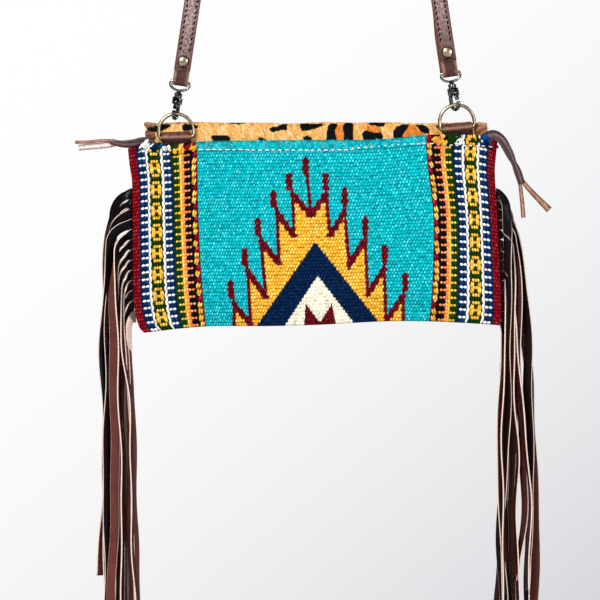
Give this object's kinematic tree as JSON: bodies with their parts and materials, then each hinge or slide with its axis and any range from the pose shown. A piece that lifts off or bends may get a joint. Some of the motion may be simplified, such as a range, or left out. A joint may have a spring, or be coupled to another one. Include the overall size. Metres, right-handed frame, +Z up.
{
  "type": "fringed wristlet purse",
  "caption": "Flat zipped purse of woven wool and spotted hide with long leather fringe at both sides, clipped to a long leather strap that loops over a shoulder or hand.",
  "frame": {"origin": "under the strap's arch, at the point where the purse hangs", "axes": "+Z up, -Y out of the woven front, +X to the right seen from the front"},
  "size_m": [0.3335, 0.0261, 0.9929],
  "materials": {
    "wool_cloth": "coarse tapestry weave",
    "hair_hide": "short spotted hair",
    "zip_tape": "closed zip with dark teeth",
    "strap_leather": "waxed, worn at edges",
    "fringe_leather": "soft, pale cut edges",
    "brass": "antiqued",
    "gunmetal": "dark polished plate"
  },
  "bodies": {
    "root": {"woven_panel": "wool_cloth", "hide_panel": "hair_hide", "zip_chain": "zip_tape", "strap": "strap_leather", "fringe_left": "fringe_leather", "zip_pull_left": "fringe_leather", "strap_rivet_left": "brass", "swivel_eye_left": "gunmetal", "snap_hook_left": "gunmetal", "d_ring_left": "brass", "ring_tab_left": "strap_leather", "fringe_right": "fringe_leather", "zip_pull_right": "fringe_leather", "strap_rivet_right": "brass", "swivel_eye_right": "gunmetal", "snap_hook_right": "gunmetal", "d_ring_right": "brass", "ring_tab_right": "strap_leather"},
    "gate_left": {"hook_gate_left": "gunmetal"},
    "gate_right": {"hook_gate_right": "gunmetal"}
  },
  "joints": [
    {"name": "hook_gate_left", "type": "hinge", "parent": "root", "child": "gate_left", "pos_m": [-0.09758, -0.00164, -0.56307], "axis": [0.955, -0.2588, -0.1447], "range_deg": [0, 30], "stiffness_Nm_per_rad": 0.01, "springref_deg": -9.74},
    {"name": "hook_gate_right", "type": "hinge", "parent": "root", "child": "gate_right", "pos_m": [0.0971, -0.00139, -0.55669], "axis": [0.8099, 0.5736, 0.1226], "range_deg": [0, 30], "stiffness_Nm_per_rad": 0.01, "springref_deg": -9.74}
  ]
}
